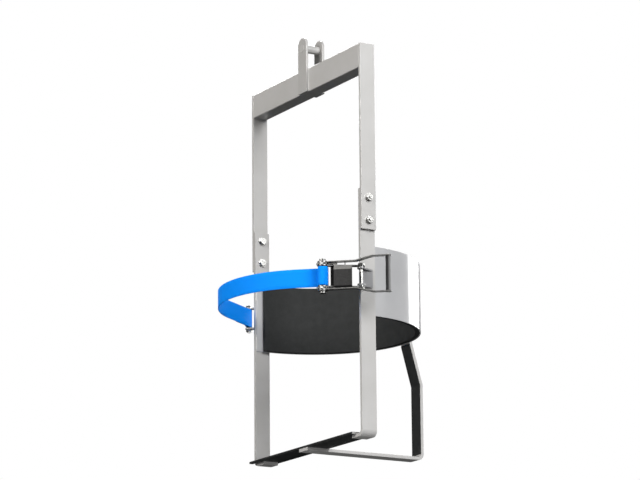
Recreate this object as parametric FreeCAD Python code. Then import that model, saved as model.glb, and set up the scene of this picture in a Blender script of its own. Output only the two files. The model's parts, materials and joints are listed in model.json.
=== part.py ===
import FreeCAD, Part
import math
import os

# Hanging lifter: a frame that carries an upright round load by its bottom edge.
# Millimetres. X runs along the top beam, +Y points to the curved back rest, +Z up.
# The origin lies on the floor, straight below the lifting pin.

V = FreeCAD.Vector
UP = V(0, 0, 1)

# Flat bar of the frame
bar_width = 50.8
bar_thickness = 9.5
bend_radius = 19.0
drum_radius = 300.0
seat_gap = 0.3

# Top beam, a rectangular tube, and its two lifting ears
beam_top = 1206.3
beam_height = 76.2
beam_wall = 4.8
beam_corner = 3.0
beam_inner_corner = 0.5
ear_thickness = 7.9
ear_rise = 102.0
pin_diameter = 25.4
pin_below_ear_top = 33.0
pin_end_stand = 0.6
pin_chamfer = 0.5

# Two-part legs and their bolts
leg_joint_above_rest = 110.0
leg_bolt_pitch = 69.85
leg_bolt_edge = 28.6
leg_bolt_diameter = 12.7
leg_bolt_hole = 13.5
leg_bolt_flats = 19.05
leg_bolt_head = 8.0
leg_nut_height = 10.9
leg_nut_turn = 30.0
leg_washer_diameter = 27.0
leg_washer_thickness = 2.5
thread_stand = 3.0
thread_chamfer = 1.0

# Feet, bottom crossbar and rear post
foot_length = 60.0
cross_width = 76.2
cross_thickness = 6.4
cross_notch_gap = 1.0
cross_screw_diameter = 8.0
cross_screw_head = 15.0
cross_screw_inset = 1.0
cross_screw_edge = 11.0
cross_short_end = 38.0
post_stand_off = 46.0
post_straight_top = 236.0
post_top_margin = 22.0
post_liner_thickness = 2.0
post_liner_end = 3.0

# Curved back rest and its rubber lining, on the cradle's own axis
cradle_y = 14.5
rest_bottom = 366.0
rest_height = 213.0
rest_thickness = 3.2
rest_front_y = -22.0
lining_thickness = 14.3
lining_front_y = 0.0
lining_inset = 1.5

# Strap
strap_height = 475.0
strap_width = 57.0
strap_thickness = 2.4
strap_slack = 2.3
strap_over_spool_deg = 62.0
strap_tail = 58.0
strap_taper = 42.0

# Ratchet buckle, laid out from its spool towards its anchor bolt
anchor_stand_off = 7.8
anchor_front = 33.3
buckle_angle = 63.0
buckle_length = 115.3
spool_radius = 10.0
spool_slot = 2.9
spool_half_length = 52.0
shaft_gap = 0.06
wrap_radius = 15.7
wrap_gap = 0.15
side_gap = 1.0
base_inner = 30.5
base_plate = 3.0
base_depth = 20.0
base_hub_radius = 16.0
wheel_radius = 19.0
wheel_root = 15.6
wheel_thickness = 4.5
wheel_teeth = 12
handle_angle = 48.5
handle_plate = 3.0
handle_reach = 198.0
handle_flare_start = 101.0
handle_flare_end = 154.0
handle_flare = 13.0
handle_outer_edge = 12.5
handle_inner_edge = 8.5
handle_grip_edge = 8.0
handle_end_radius = 10.0
grip_radius = 7.75
grip_chamfer = 1.2
grip_rod_radius = 4.0
grip_rivet_radius = 6.5
grip_rivet_height = 1.5
cotter_diameter = 3.0
cotter_head_diameter = 3.8
cotter_reach = 3.5
spool_washer_thickness = 2.0
spool_washer_radius = 15.0

# Sprung pawls
pawl_thickness = 2.5
pawl_tip_gap = 0.45
lock_travel = 5.0
release_travel = 7.0
pawl_bar = 13.0
slot_gap = 0.25
lock_body_end = 46.0
lock_spring_length = 20.0
release_body_start = 35.0
release_body_end = 90.5
release_offset = 4.0
release_pan_offset = 8.0
release_fold = 11.5
release_low_edge = 36.5
release_low_fold = 3.5
release_shoulder = 10.0
release_prong_gap = 0.25
release_lip = 6.0
release_tab_start = 44.0
release_tab_half = 7.0
release_spring_length = 20.0
bridge_thickness = 3.0
bridge_tab = 5.0
handle_bridge_high = 4.0
handle_bridge_tab = 3.0
spring_radius = 2.8
spring_wire = 0.9
spring_turns = 6
spring_sides = 10

# Strap anchors on the legs
anchor_bolt_diameter = 10.0
anchor_plate = 4.8
anchor_nose_radius = 12.0
anchor_web_front = 22.0
anchor_web_back = 14.0
anchor_right_half = 23.0
anchor_left_half = 30.0
anchor_head_flats = 17.0
anchor_head_height = 6.5
anchor_nut_height = 8.0
sleeve_radius = 6.6
spacer_radius = 9.0

# Places that follow from the sizes above
rest_inner = drum_radius + lining_thickness
rest_radius = rest_inner + rest_thickness
rest_back = cradle_y + rest_radius
rest_top = rest_bottom + rest_height
lower_inner = rest_radius
upper_inner = lower_inner + bar_thickness
half_width = upper_inner + bar_thickness
half_bar = bar_width / 2
beam_bottom = beam_top - beam_height
ear_top = beam_top + ear_rise
pin_height = ear_top - pin_below_ear_top
leg_joint_height = rest_top + leg_joint_above_rest
leg_overlap = leg_bolt_pitch + 2 * leg_bolt_edge
upper_leg_bottom = leg_joint_height - leg_overlap / 2
lower_leg_top = leg_joint_height + leg_overlap / 2
cross_bottom = bar_thickness
cross_top = cross_bottom + cross_thickness
post_back = rest_back + post_stand_off
post_inner = post_back - bar_thickness
strap_mid_radius = drum_radius + strap_slack + strap_thickness / 2
handle_inner = base_inner + base_plate + wheel_thickness + 2 * side_gap
handle_mid = handle_inner + handle_plate / 2
handle_outer = handle_inner + handle_plate
wheel_bottom = base_inner + base_plate + side_gap
handle_half_length = handle_outer + handle_flare + spool_half_length
buckle_turn = math.radians(buckle_angle)
buckle_direction = V(math.cos(buckle_turn), math.sin(buckle_turn), 0)
anchor_right = V(half_width + anchor_stand_off, -anchor_front, strap_height)
anchor_left = V(-anchor_right.x, anchor_right.y, strap_height)
buckle_axis = anchor_right - buckle_direction * buckle_length
buckle_reach = buckle_length + handle_reach


def save(node, shape):
    """Write one sub-part to its own file."""
    shape.exportStep("parts/" + node + ".step")


def box(x0, x1, y0, y1, z0, z1):
    return Part.makeBox(x1 - x0, y1 - y0, z1 - z0, V(x0, y0, z0))


def rod(radius, start, end):
    """Round bar between two points."""
    along = end - start
    return Part.makeCylinder(radius, along.Length, start, along)


def tube(outer, inner, start, end):
    return rod(outer, start, end).cut(rod(inner, start, end))


def hexagon(flats, height, start, direction, turn=0):
    """Hexagonal bolt head or nut with its round chamfer, turned by degrees about its axis."""
    corner = flats / math.sqrt(3)
    points = [on_circle(V(), corner, k * math.pi / 3) for k in range(7)]
    head = Part.Face(Part.makePolygon(points)).extrude(V(0, 0, height))
    drop = (corner - flats / 2) * 0.6
    crown = Part.makeCone(corner, corner - 1.7 * drop, drop, V(0, 0, height - drop))
    head = head.common(Part.makeCylinder(corner, height - drop).fuse(crown))
    turned = FreeCAD.Rotation(UP, direction).multiply(FreeCAD.Rotation(UP, turn))
    head.Placement = FreeCAD.Placement(start, turned)
    return head


def line(start, end):
    return ("line", start, end)


def arc(centre, radius, start_angle, end_angle):
    """Arc in radians; it runs left-handed when end_angle is the smaller."""
    return ("arc", centre, radius, start_angle, end_angle)


def on_circle(centre, radius, angle):
    return V(centre.x + radius * math.cos(angle), centre.y + radius * math.sin(angle), 0)


def left_of(direction):
    return V(-direction.y, direction.x, 0)


def offset_edges(path, offset):
    """Edges of a smooth path moved to its left by offset."""
    edges = []
    for piece in path:
        if piece[0] == "line":
            side = left_of((piece[2] - piece[1]).normalize()) * offset
            edges.append(Part.LineSegment(piece[1] + side, piece[2] + side).toShape())
        else:
            centre, radius, first, last = piece[1:]
            turned = radius - offset if last > first else radius + offset
            points = [on_circle(centre, turned, a) for a in (first, (first + last) / 2, last)]
            edges.append(Part.Arc(*points).toShape())
    return edges


def ribbon(path, thickness):
    """Flat face of a strip that follows a smooth path of lines and arcs."""
    left = offset_edges(path, thickness / 2)
    right = offset_edges(path, -thickness / 2)
    caps = []
    for index in (0, -1):
        edges = [side[index] for side in (left, right)]
        ends = [edge.firstVertex(True) if index == 0 else edge.lastVertex(True) for edge in edges]
        caps.append(Part.LineSegment(ends[0].Point, ends[1].Point).toShape())
    return Part.Face(Part.Wire(Part.__sortEdges__(left + right + caps)))


def rounded(corners, radius):
    """Smooth path through corners, each inner one rounded with the same radius."""
    path = []
    start = corners[0]
    for before, corner, after in zip(corners, corners[1:], corners[2:]):
        inward = (corner - before).normalize()
        outward = (after - corner).normalize()
        turn = math.atan2(inward.x * outward.y - inward.y * outward.x, inward.dot(outward))
        reach = radius * math.tan(abs(turn) / 2)
        side = 1 if turn > 0 else -1
        centre = corner - inward * reach + left_of(inward) * (side * radius)
        first = math.atan2(-left_of(inward).y * side, -left_of(inward).x * side)
        path.append(line(start, corner - inward * reach))
        path.append(arc(centre, radius, first, first + turn))
        start = corner + outward * reach
    path.append(line(start, corners[-1]))
    return path


def stand(face, height, middle):
    """Extrude a plan-view face by height, centred on the level middle."""
    solid = face.extrude(V(0, 0, height))
    solid.translate(V(0, 0, middle - height / 2))
    return solid


def moved(solid, position, rotation):
    """Copy of a solid, rotated and then shifted."""
    copy = solid.copy()
    copy.Placement = FreeCAD.Placement(position, rotation).multiply(solid.Placement)
    return copy


def side_view(solid, about):
    """Turn a solid drawn in X-Y so that its Y becomes Z, extruded along the third axis."""
    if about == "x":
        return moved(solid, V(), FreeCAD.Rotation(V(1, 1, 1), 120))
    return moved(solid, V(), FreeCAD.Rotation(V(1, 0, 0), 90))


def place(solid, angle):
    """Move a buckle part from its own layout to the buckle on the frame."""
    return moved(solid, buckle_axis, FreeCAD.Rotation(UP, angle))


def mirrored_z(solid):
    return solid.mirror(V(), UP)


def group(solids):
    return Part.makeCompound(solids)


def rounded_box(x0, x1, y0, y1, z0, z1, radius, direction):
    """Box whose edges along one direction are rounded."""
    solid = box(x0, x1, y0, y1, z0, z1)
    edges = [edge for edge in solid.Edges if edge.tangentAt(0).cross(direction).Length < 1e-6]
    return solid.makeFillet(radius, edges)


def make_beam():
    """Rectangular tube between the two upper legs."""
    along = V(1, 0, 0)
    end = upper_inner
    outer = rounded_box(-end, end, -half_bar, half_bar, beam_bottom, beam_top, beam_corner, along)
    half = half_bar - beam_wall
    low, high = beam_bottom + beam_wall, beam_top - beam_wall
    inner = rounded_box(-end, end, -half, half, low, high, beam_inner_corner, along)
    return outer.cut(inner)


def make_ear(side):
    """Lifting ear with a round top, flat on one side of the beam."""
    inner = side * half_bar
    outer = side * (half_bar + ear_thickness)
    y0, y1 = min(inner, outer), max(inner, outer)
    crown_height = ear_top - half_bar
    plate = box(-half_bar, half_bar, y0, y1, beam_bottom, crown_height)
    crown = rod(half_bar, V(0, y0, crown_height), V(0, y1, crown_height))
    hole = rod(pin_diameter / 2 + shaft_gap, V(0, y0, pin_height), V(0, y1, pin_height))
    return plate.fuse(crown).removeSplitter().cut(hole)


def make_pin():
    end = half_bar + ear_thickness + pin_end_stand
    pin = rod(pin_diameter / 2, V(0, -end, pin_height), V(0, end, pin_height))
    return pin.makeChamfer(pin_chamfer, [edge for edge in pin.Edges if len(edge.Vertexes) == 1])


def leg_bolt_heights():
    return [leg_joint_height - leg_bolt_pitch / 2, leg_joint_height + leg_bolt_pitch / 2]


def drill_leg(leg, side):
    for height in leg_bolt_heights():
        ends = [V(side * lower_inner, 0, height), V(side * half_width, 0, height)]
        leg = leg.cut(rod(leg_bolt_hole / 2, *ends))
    return leg


def make_upper_leg(side):
    x0, x1 = sorted((side * upper_inner, side * half_width))
    return drill_leg(box(x0, x1, -half_bar, half_bar, upper_leg_bottom, beam_top), side)


def make_lower_leg(side):
    """Flat bar that turns inwards at the floor and ends in a short foot."""
    mid = bar_thickness / 2
    corners = [V(side * (upper_inner - foot_length), mid, 0), V(side * (upper_inner - mid), mid, 0),
               V(side * (upper_inner - mid), lower_leg_top, 0)]
    bar = stand(ribbon(rounded(corners, bend_radius - mid), bar_thickness), bar_width, 0)
    leg = drill_leg(side_view(bar, "y"), side)
    for y in cross_screw_rows():
        x = side * (upper_inner - foot_length + cross_screw_edge)
        leg = leg.cut(rod(cross_screw_diameter / 2 + shaft_gap, V(x, y, 0), V(x, y, bar_thickness)))
    return leg


def cross_screw_rows():
    return [-half_bar + cross_screw_edge, half_bar - cross_screw_edge]


def cross_screw_places():
    """Two screws in each foot and two in the rear bar, in lines across the crossbar."""
    foot = upper_inner - foot_length + cross_screw_edge
    return [(x, y) for x in (-foot, 0, foot) for y in cross_screw_rows()]


def make_crossbar():
    """Black bar on the feet: a notch astride the left leg, cut off short of the right one."""
    right_end = upper_inner - cross_short_end
    bar = box(-half_width, right_end, -cross_width / 2, cross_width / 2, cross_bottom, cross_top)
    notch_half = half_bar + cross_notch_gap
    root = upper_inner - bend_radius - cross_notch_gap
    bar = bar.cut(box(-half_width, -root, -notch_half, notch_half, cross_bottom, cross_top))
    for x, y in cross_screw_places():
        hole = rod(cross_screw_diameter / 2 + shaft_gap, V(x, y, cross_bottom), V(x, y, cross_top))
        bar = bar.cut(screw_head(x, y).fuse(hole))
    return bar


def screw_head_height():
    return (cross_screw_head - cross_screw_diameter) / 2


def screw_head(x, y):
    neck = V(x, y, cross_top - screw_head_height())
    return Part.makeCone(cross_screw_diameter / 2, cross_screw_head / 2, screw_head_height(), neck)


def make_cross_screws():
    """Countersunk screws, flush with the crossbar."""
    screws = []
    for x, y in cross_screw_places():
        neck = cross_top - screw_head_height()
        shank = rod(cross_screw_diameter / 2, V(x, y, cross_screw_inset), V(x, y, neck))
        screws.append(screw_head(x, y).fuse(shank).removeSplitter())
    return group(screws)


def make_leg_bolts():
    bolts = []
    for side in (-1, 1):
        for height in leg_bolt_heights():
            seat = V(side * (lower_inner - leg_washer_thickness), 0, height)
            tip = V(side * (half_width + leg_nut_height + thread_stand), 0, height)
            inward = V(-side, 0, 0)
            head = hexagon(leg_bolt_flats, leg_bolt_head, seat, inward, leg_nut_turn)
            shank = rod(leg_bolt_diameter / 2, seat + inward, tip)
            rims = [edge for edge in shank.Edges if len(edge.Vertexes) == 1]
            outermost = max(rims, key=lambda edge: abs(edge.CenterOfMass.x))
            bolts.append(head.fuse(shank.makeChamfer(thread_chamfer, [outermost])).removeSplitter())
    return group(bolts)


def make_leg_washers():
    washers = []
    for side in (-1, 1):
        for height in leg_bolt_heights():
            start = V(side * lower_inner, 0, height)
            end = V(side * (lower_inner - leg_washer_thickness), 0, height)
            washers.append(tube(leg_washer_diameter / 2, leg_bolt_diameter / 2 + shaft_gap, start, end))
    return group(washers)


def make_leg_nuts():
    nuts = []
    for side in (-1, 1):
        for height in leg_bolt_heights():
            seat = V(side * half_width, 0, height)
            out = V(side, 0, 0)
            nut = hexagon(leg_bolt_flats, leg_nut_height, seat, out, leg_nut_turn)
            nuts.append(nut.cut(rod(leg_bolt_diameter / 2 + shaft_gap, seat, seat + out * leg_nut_height)))
    return group(nuts)


def rest_path(radius, front_y):
    """Plan of the back rest: half a circle with a straight run along each leg."""
    centre = V(0, cradle_y, 0)
    return [line(V(radius, front_y, 0), V(radius, cradle_y, 0)), arc(centre, radius, 0, math.pi),
            line(V(-radius, cradle_y, 0), V(-radius, front_y, 0))]


def make_back_rest():
    face = ribbon(rest_path(rest_radius - rest_thickness / 2, rest_front_y), rest_thickness)
    return stand(face, rest_height, rest_bottom + rest_height / 2)


def make_back_lining():
    face = ribbon(rest_path(drum_radius + lining_thickness / 2, lining_front_y), lining_thickness)
    return stand(face, rest_height - 2 * lining_inset, rest_bottom + rest_height / 2)


def post_corners(inset, start, end):
    """Centreline corners of a strip that lies inset behind the post's front face."""
    front = post_inner + inset
    lean = math.atan2(post_inner - rest_back, rest_bottom - post_straight_top)
    shift = inset * math.tan(lean / 2)
    corners = [V(front, post_straight_top + shift, 0), V(rest_back + inset, rest_bottom + shift, 0)]
    return [start] + corners + [end]


def make_rear_post():
    """Flat bar: from the crossbar to the back, up, and leaning in to the back rest."""
    mid = bar_thickness / 2
    foot = [V(-cross_width / 2, mid, 0), V(post_inner + mid, mid, 0)]
    top = V(rest_back + mid, rest_top - post_top_margin, 0)
    corners = foot + post_corners(mid, foot[-1], top)[1:]
    bar = stand(ribbon(rounded(corners, bend_radius - mid), bar_thickness), bar_width, 0)
    post = side_view(bar, "x")
    for x, y in cross_screw_places():
        if abs(x) < half_bar:
            post = post.cut(rod(cross_screw_diameter / 2 + shaft_gap, V(x, y, 0), V(x, y, bar_thickness)))
    return post


def make_post_lining():
    """Thin black facing on the post's front side, up to the back rest."""
    inset = -post_liner_thickness / 2
    start = V(post_inner + inset, bend_radius, 0)
    lean = math.atan2(post_inner - rest_back, rest_bottom - post_straight_top)
    corners = post_corners(inset, start, V())[:3]
    back_off = V(math.sin(lean), -math.cos(lean), 0) * post_liner_end
    corners[2] = corners[2] + back_off
    radius = bend_radius - bar_thickness + post_liner_thickness / 2
    strip = stand(ribbon(rounded(corners, radius), post_liner_thickness), bar_width, 0)
    return side_view(strip, "x")


def make_anchor(side, half_gap):
    """Strap anchor: a web welded to the leg with one ear above and one below."""
    nose = anchor_right if side > 0 else anchor_left
    leg_face = side * upper_inner
    web_face = side * (upper_inner + anchor_plate)
    flank = V(nose.x - side * 5, nose.y - anchor_nose_radius + 1, 0)
    outline = [V(leg_face, -anchor_web_front, 0), flank, V(nose.x, nose.y, 0),
               V(nose.x, nose.y + anchor_nose_radius, 0), V(web_face, anchor_web_back, 0),
               V(leg_face, anchor_web_back, 0)]
    ear_face = Part.Face(Part.makePolygon(outline + [outline[0]])).extrude(V(0, 0, anchor_plate))
    disc = Part.makeCylinder(anchor_nose_radius, anchor_plate, V(nose.x, nose.y, 0))
    ear = ear_face.fuse(disc).removeSplitter()
    ear = ear.cut(Part.makeCylinder(anchor_bolt_diameter / 2 + shaft_gap, anchor_plate, V(nose.x, nose.y, 0)))
    x0, x1 = sorted((leg_face, web_face))
    bracket = box(x0, x1, -anchor_web_front, anchor_web_back, -half_gap, half_gap)
    for level in (half_gap, -half_gap - anchor_plate):
        copy = ear.copy()
        copy.translate(V(0, 0, level))
        bracket = bracket.fuse(copy)
    bracket = bracket.removeSplitter()
    bracket.translate(V(0, 0, strap_height))
    return bracket


def make_anchor_bolt(centre, half_grip):
    """Hex bolt down through both ears; its head is on top."""
    top = centre + UP * half_grip
    foot = centre - UP * (half_grip + anchor_nut_height + thread_stand)
    head = hexagon(anchor_head_flats, anchor_head_height, top, UP)
    return head.fuse(rod(anchor_bolt_diameter / 2, foot, top + UP)).removeSplitter()


def make_anchor_nut(centre, half_grip):
    seat = centre - UP * half_grip
    nut = hexagon(anchor_head_flats, anchor_nut_height, seat, -UP)
    return nut.cut(rod(anchor_bolt_diameter / 2 + shaft_gap, seat, seat - UP * anchor_nut_height))


def make_anchor_spacers():
    """Plain rings that fill the room between the anchor's ears and the buckle's sides."""
    low = anchor_right_half + anchor_plate
    rings = []
    for side in (-1, 1):
        ends = [anchor_right + UP * (side * (low + 0.1)), anchor_right + UP * (side * (base_inner - 0.1))]
        rings.append(tube(spacer_radius, anchor_bolt_diameter / 2 + shaft_gap, *ends))
    return group(rings)


def make_anchor_sleeve():
    half = UP * (anchor_left_half - 0.2)
    return tube(sleeve_radius, anchor_bolt_diameter / 2 + shaft_gap, anchor_left - half, anchor_left + half)


def make_strap():
    """Webbing: a sewn eye round the far sleeve, an arc in front, and onto the spool."""
    drum = V(0, cradle_y, 0)
    eye = V(anchor_left.x, anchor_left.y, 0)
    spool = V(buckle_axis.x, buckle_axis.y, 0)
    half = strap_thickness / 2
    eye_radius = sleeve_radius + seat_gap + half
    spool_path = wrap_radius + seat_gap + half
    to_eye = eye - drum
    spread = math.acos((strap_mid_radius + eye_radius) / to_eye.Length)
    leave_eye = math.atan2(to_eye.y, to_eye.x) + spread
    to_spool = spool - drum
    spread = math.acos((strap_mid_radius + spool_path) / to_spool.Length)
    reach_spool = math.atan2(to_spool.y, to_spool.x) - spread
    eye_top = on_circle(eye, eye_radius, leave_eye + math.pi)
    run = (on_circle(drum, strap_mid_radius, leave_eye) - eye_top).normalize()
    away = left_of(run) * -1
    layer = strap_thickness + seat_gap
    fold = eye_top + run * strap_taper + away * layer
    tail = fold + run * strap_tail
    to_fold = fold - eye
    base_angle = math.atan2(to_fold.y, to_fold.x)
    fold_angle = base_angle - math.acos(eye_radius / to_fold.Length)
    meet = on_circle(eye, eye_radius, fold_angle)
    path = rounded([tail, fold, meet], 40.0)
    eye_start = fold_angle
    eye_end = leave_eye + math.pi
    while eye_end > eye_start:
        eye_end -= 2 * math.pi
    path.append(arc(eye, eye_radius, eye_start, eye_end))
    path.append(line(eye_top, on_circle(drum, strap_mid_radius, leave_eye)))
    path.append(arc(drum, strap_mid_radius, leave_eye, reach_spool))
    wrap_start = reach_spool + math.pi
    leave_drum = on_circle(drum, strap_mid_radius, reach_spool)
    path.append(line(leave_drum, on_circle(spool, spool_path, wrap_start)))
    path.append(arc(spool, spool_path, wrap_start, wrap_start - math.radians(strap_over_spool_deg)))
    return stand(ribbon(path, strap_thickness), strap_width, strap_height)


def make_strap_wrap():
    """Webbing wound on the spool, held in its slot."""
    half = strap_width / 2
    coil = tube(wrap_radius, spool_radius + wrap_gap, V(0, 0, -half), V(0, 0, half))
    slot = strap_thickness / 2
    reach = spool_radius + 2 * wrap_gap
    web = box(-reach, reach, -slot, slot, -half, half)
    return place(coil.fuse(web).removeSplitter(), buckle_angle)


def make_spool_half(side):
    """Half-round bar; two of them with the slot between make the spool."""
    bar = Part.makeCylinder(spool_radius, 2 * spool_half_length, V(0, 0, -spool_half_length))
    reach = spool_radius + 1
    y0, y1 = sorted((side * spool_slot / 2, side * reach))
    half = bar.common(box(-reach, reach, y0, y1, -spool_half_length, spool_half_length))
    for level in cotter_levels():
        half = half.cut(rod(cotter_diameter / 2 + shaft_gap, V(0, -reach, level), V(0, reach, level)))
    return place(half, buckle_angle)


def cotter_levels():
    level = handle_outer + side_gap + spool_washer_thickness + cotter_head_diameter / 2
    return [-level, level]


def make_spool_cotters():
    """Pins across the spool's ends, each with its round head."""
    pins = []
    reach = spool_radius + cotter_reach
    for level in cotter_levels():
        pin = rod(cotter_diameter / 2, V(0, -reach, level), V(0, reach, level))
        head = rod(cotter_head_diameter / 2, V(0, -reach - cotter_diameter, level), V(0, -reach, level))
        pins.append(place(pin.fuse(head).removeSplitter(), buckle_angle))
    return group(pins)


def make_spool_washers():
    rings = []
    low = handle_outer + side_gap / 2
    for side in (-1, 1):
        ends = [V(0, 0, side * low), V(0, 0, side * (low + spool_washer_thickness))]
        rings.append(place(tube(spool_washer_radius, spool_radius + shaft_gap, *ends), buckle_angle))
    return group(rings)


def make_ratchet_wheel(side):
    """Toothed disc: one steep and one sloping flank to each tooth."""
    points = []
    pitch = 2 * math.pi / wheel_teeth
    for tooth in range(wheel_teeth):
        angle = tooth * pitch
        points.append(on_circle(V(), wheel_root, angle))
        points.append(on_circle(V(), wheel_radius, angle + 0.06))
        points.append(on_circle(V(), wheel_radius, angle + 0.28 * pitch))
    points.append(points[0])
    disc = Part.Face(Part.makePolygon(points)).extrude(V(0, 0, wheel_thickness))
    disc.translate(V(0, 0, wheel_bottom))
    bore = Part.makeCylinder(spool_radius, wheel_thickness, V(0, 0, wheel_bottom))
    disc = disc.cut(bore)
    return place(disc if side > 0 else mirrored_z(disc), buckle_angle)


def side_plate_outline(hub_radius, end, end_radius, outer_edge, inner_edge):
    """Plan of a buckle side plate: round hub, straight bar, round end."""
    hub = Part.makeCylinder(hub_radius, 2 * spool_half_length, V(0, 0, -spool_half_length))
    tip = Part.makeCylinder(end_radius, 2 * handle_half_length, V(end, 0, -handle_half_length))
    bar = box(0, end, -outer_edge, inner_edge, -handle_half_length, handle_half_length)
    return hub.fuse(bar).fuse(tip).removeSplitter()


def through(radius, x):
    """Round cutter through the whole buckle at x along it."""
    return Part.makeCylinder(radius, 2 * handle_half_length, V(x, 0, -handle_half_length))


def slot_through(x0, x1, y0, y1):
    return box(x0, x1, y0, y1, -handle_half_length, handle_half_length)


def make_base_plate(side):
    """Side of the buckle's base, with the slot of the lock pawl."""
    edge = base_depth / 2
    outline = side_plate_outline(base_hub_radius, buckle_length, edge + 1, edge, edge)
    room = buckle_reach
    plate = outline.common(box(-room, room, -room, room, base_inner, base_inner + base_plate))
    plate = plate.cut(through(spool_radius + shaft_gap, 0))
    plate = plate.cut(through(anchor_bolt_diameter / 2 + shaft_gap, buckle_length))
    slot_start = lock_tip()
    slot_half = pawl_thickness / 2 + slot_gap
    slot_end = slot_start + pawl_bar + lock_travel + slot_gap
    plate = plate.cut(slot_through(slot_start - slot_gap, slot_end, -slot_half, slot_half))
    bridge = lock_bridge_start()
    plate = plate.cut(slot_through(bridge, bridge + bridge_thickness, -bridge_tab, bridge_tab))
    return place(plate if side > 0 else mirrored_z(plate), buckle_angle)


def lock_tip():
    return wheel_radius + pawl_tip_gap


def lock_bridge_start():
    return lock_body_end + lock_spring_length


def make_lock_bridge():
    """Cross plate that ties the base's sides and backs the lock spring."""
    start = lock_bridge_start()
    half = base_inner
    plate = box(start, start + bridge_thickness, -base_depth / 2 + 1, base_depth / 2 - 1, -half, half)
    reach = half + base_plate
    tabs = box(start, start + bridge_thickness, -bridge_tab, bridge_tab, -reach, reach)
    return place(plate.fuse(tabs).removeSplitter(), buckle_angle)


def make_lock_pawl():
    """Sliding plate whose ends stop both wheels."""
    half = pawl_thickness / 2
    reach = wheel_bottom + wheel_thickness
    nose = box(lock_tip(), lock_tip() + pawl_bar, -half, half, -reach, reach)
    body_half = base_inner - 2 * slot_gap
    body = box(lock_tip() + 4, lock_body_end, -half, half, -body_half, body_half)
    relief = box(lock_tip() - 1, lock_tip() + 4, -half, half, -strap_width / 2 - 1, strap_width / 2 + 1)
    peg = rod(1.6, V(lock_body_end, 0, 0), V(lock_body_end + 10, 0, 0))
    return place(nose.fuse(body).cut(relief).fuse(peg).removeSplitter(), buckle_angle)


def make_spring(start, length, y):
    """Coil spring along the buckle, its wire drawn as flat-sided steps round the coil."""
    steps = spring_turns * spring_sides
    path_radius = spring_radius - spring_wire / 2
    climb = (length - spring_wire) / steps
    rings = []
    for step in range(steps + 1):
        angle = 2 * math.pi * step / spring_sides
        outward = V(0, math.cos(angle), math.sin(angle))
        middle = V(start + spring_wire / 2 + climb * step, y, 0) + outward * path_radius
        ring = []
        for corner in range(4):
            turn = math.pi / 4 + corner * math.pi / 2
            across = outward * (spring_wire / 2 * math.cos(turn))
            ring.append(middle + across + V(spring_wire / 2 * math.sin(turn), 0, 0))
        rings.append(ring)
    faces = [flat(rings[0]), flat(rings[-1])]
    for one, two in zip(rings, rings[1:]):
        for k in range(4):
            n = (k + 1) % 4
            faces.append(flat([one[k], one[n], two[n]]))
            faces.append(flat([one[k], two[n], two[k]]))
    coil = Part.Solid(Part.Shell(faces))
    return coil if coil.Volume > 0 else coil.reversed()


def flat(points):
    return Part.Face(Part.makePolygon(points + [points[0]]))


def make_lock_spring():
    return place(make_spring(lock_body_end, lock_spring_length, 0), buckle_angle)


def make_handle_plate(side):
    """Side of the handle, joggled outwards before the grip."""
    wide = handle_mid + handle_flare
    end = handle_reach + handle_end_radius
    corners = [V(-base_hub_radius, handle_mid, 0), V(handle_flare_start, handle_mid, 0),
               V(handle_flare_end, wide, 0), V(end, wide, 0)]
    strip = stand(ribbon(rounded(corners, 4 * handle_plate), handle_plate), 4 * base_hub_radius, 0)
    strip = side_view(strip, "y")
    outline = side_plate_outline(base_hub_radius, handle_reach, handle_end_radius, handle_outer_edge,
                                 handle_inner_edge)
    narrow = slot_through(handle_flare_end, end, -handle_outer_edge, -handle_grip_edge)
    plate = strip.common(outline).cut(narrow)
    plate = plate.cut(through(spool_radius + shaft_gap, 0))
    plate = plate.cut(through(grip_rod_radius + shaft_gap, handle_reach))
    edge = pawl_thickness / 2 + slot_gap
    start = release_tip()
    plate = plate.cut(slot_through(start - slot_gap, start + pawl_bar + release_travel + slot_gap,
                                   -release_offset - edge, -release_offset + edge))
    bridge = release_bridge_start()
    plate = plate.cut(slot_through(bridge, bridge + bridge_thickness, handle_bridge_low(), handle_bridge_tab))
    return place(plate if side > 0 else mirrored_z(plate), handle_angle)


def release_tip():
    inner = release_offset - pawl_thickness / 2
    return math.sqrt((wheel_radius + pawl_tip_gap) ** 2 - inner ** 2)


def release_bridge_start():
    return release_tab_start + pawl_thickness + release_spring_length


def handle_bridge_low():
    """Level just clear of the release slide's folded edges."""
    return -release_offset + pawl_thickness / 2 + 2 * slot_gap


def make_handle_bridge():
    """Cross plate that ties the handle's sides; its tongue backs the release spring."""
    start = release_bridge_start()
    end = start + bridge_thickness
    low = handle_bridge_low()
    above_slide = -release_pan_offset + pawl_thickness / 2 + slot_gap
    plate = box(start, end, low, handle_bridge_high, -handle_inner, handle_inner)
    tabs = box(start, end, low, handle_bridge_tab, -handle_outer, handle_outer)
    tongue = box(start, end, above_slide, low, -release_tab_half, release_tab_half)
    return place(plate.fuse([tabs, tongue]).removeSplitter(), handle_angle)


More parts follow.
